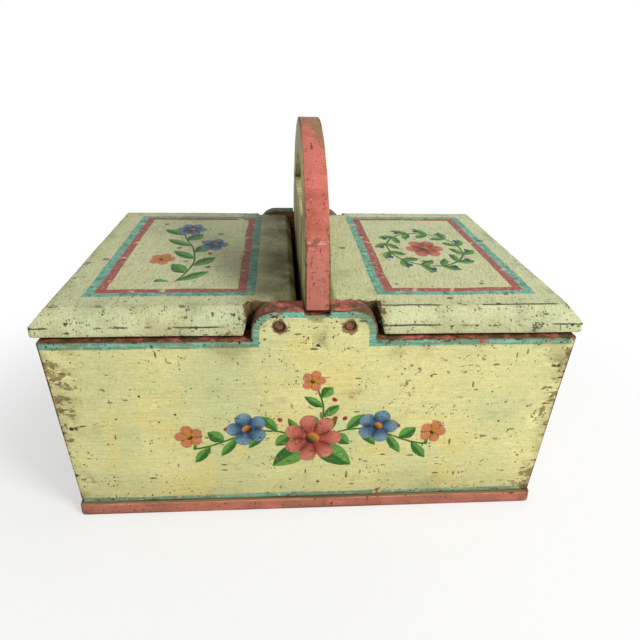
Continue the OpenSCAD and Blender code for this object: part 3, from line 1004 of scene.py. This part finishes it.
class CARRIER_OT_stage(bpy.types.Operator):
    """Set the floor, the light and the camera"""

    bl_idname = "carrier.stage"
    bl_label = "Stage"

    def execute(self, context):
        stage = context.scene.carrier_stage
        bpy.ops.object.select_all(action="DESELECT")
        bpy.ops.mesh.primitive_plane_add(size=FLOOR_SIZE, location=(0, 0, 0))
        floor = context.object
        floor.name = "floor"
        floor.data.materials.append(floor_material())

        add_lamp(*KEY_LAMP, stage.key_power)
        add_lamp(*FILL_LAMP, stage.fill_power)
        add_lamp(*BACK_LAMP, stage.back_power)

        world = bpy.data.worlds.new("Studio")
        world.use_nodes = True
        light_world(world.node_tree, stage.world_strength)
        context.scene.world = world

        bpy.ops.object.camera_add()
        camera = context.object
        camera.name = "camera"
        camera.data.lens = stage.lens
        camera.data.dof.use_dof = False
        camera.data.clip_start = 0.01
        camera.matrix_world = (
            Matrix.Translation(stage.eye)
            @ Matrix.Rotation(-stage.yaw, 4, "Z")
            @ Matrix.Rotation(math.pi / 2 - stage.pitch, 4, "X")
            @ Matrix.Rotation(stage.roll, 4, "Z")
        )
        context.scene.camera = camera
        context.scene.view_settings.view_transform = "Standard"
        return {"FINISHED"}


def add_lamp(name, place, size, power):
    """A square lamp that looks at the middle."""
    bpy.ops.object.light_add(type="AREA", location=place)
    lamp = bpy.context.object
    lamp.name = name
    lamp.rotation_euler = (MIDDLE - Vector(place)).to_track_quat("-Z", "Y").to_euler()
    lamp.data.size = size
    lamp.data.energy = power


def backdrop_rays(f):
    """1 for rays that see the backdrop: the camera's, and those that gloss or glass sends on."""
    seen = f.node("ShaderNodeLightPath", output="Is Camera Ray")
    return seen.high(seen.output("Is Glossy Ray")).high(seen.output("Is Transmission Ray"))


def floor_material():
    """Pale floor that keeps the shadow near the object and looks white further off."""
    f = Finish("Floor")
    inputs = {"Base Color": (0.9, 0.9, 0.9), "Roughness": 0.9, "Specular IOR Level": 0.1}
    matt = f.node("ShaderNodeBsdfPrincipled", {}, inputs)
    white = f.node("ShaderNodeEmission", {}, {"Color": WHITE, "Strength": 1.0})
    far = root_of_squares(f.x, f.y).ramp(FLOOR_NEAR, FLOOR_FAR) * (1 - FLOOR_GLOW) + FLOOR_GLOW
    surface = f.node("ShaderNodeMixShader", {}, {0: backdrop_rays(f) * far, 1: matt, 2: white})
    f.node("ShaderNodeOutputMaterial", {}, {"Surface": surface})
    return f.material


def light_world(tree, strength):
    """Lights the scene from all round, and shows a white backdrop."""
    f = Nodes(tree)
    light = f.node("ShaderNodeBackground", {}, {"Color": WHITE, "Strength": strength})
    white = f.node("ShaderNodeBackground", {}, {"Color": WHITE, "Strength": 1.0})
    surface = f.node("ShaderNodeMixShader", {}, {0: backdrop_rays(f), 1: light, 2: white})
    f.node("ShaderNodeOutputWorld", {}, {"Surface": surface})


OPERATORS = (
    CARRIER_OT_walls,
    CARRIER_OT_base,
    CARRIER_OT_handle,
    CARRIER_OT_lids,
    CARRIER_OT_pins,
    CARRIER_OT_nails,
    CARRIER_OT_stage,
)

GROUPS = {
    "carrier_paint": CarrierPaint,
    "carrier_stripes": CarrierStripes,
    "carrier_wear": CarrierWear,
    "carrier_stage": CarrierStage,
}


class CARRIER_PT_panel(bpy.types.Panel):
    """Lists the carrier's sizes and colours, and the steps that make it"""

    bl_idname = "CARRIER_PT_panel"
    bl_label = "Sewing Carrier"
    bl_space_type = "VIEW_3D"
    bl_region_type = "UI"
    bl_category = "Sewing Carrier"

    def draw(self, context):
        for pointer, group in GROUPS.items():
            box = self.layout.box()
            box.label(text=pointer.replace("carrier_", "").capitalize())
            for name in group.__annotations__:
                box.prop(getattr(context.scene, pointer), name)
        for operator in OPERATORS:
            self.layout.operator(operator.bl_idname)


def register():
    for cls in (*GROUPS.values(), *OPERATORS, CARRIER_PT_panel):
        bpy.utils.register_class(cls)
    for pointer, group in GROUPS.items():
        setattr(bpy.types.Scene, pointer, PointerProperty(type=group))


def unregister():
    for pointer in GROUPS:
        delattr(bpy.types.Scene, pointer)
    for cls in reversed((*GROUPS.values(), *OPERATORS, CARRIER_PT_panel)):
        bpy.utils.unregister_class(cls)


def main():
    register()
    bpy.ops.carrier.walls()
    bpy.ops.carrier.base()
    bpy.ops.carrier.handle()
    bpy.ops.carrier.lids()
    bpy.ops.carrier.pins()
    bpy.ops.carrier.nails()
    bpy.ops.carrier.stage()


if __name__ == "__main__":
    main()
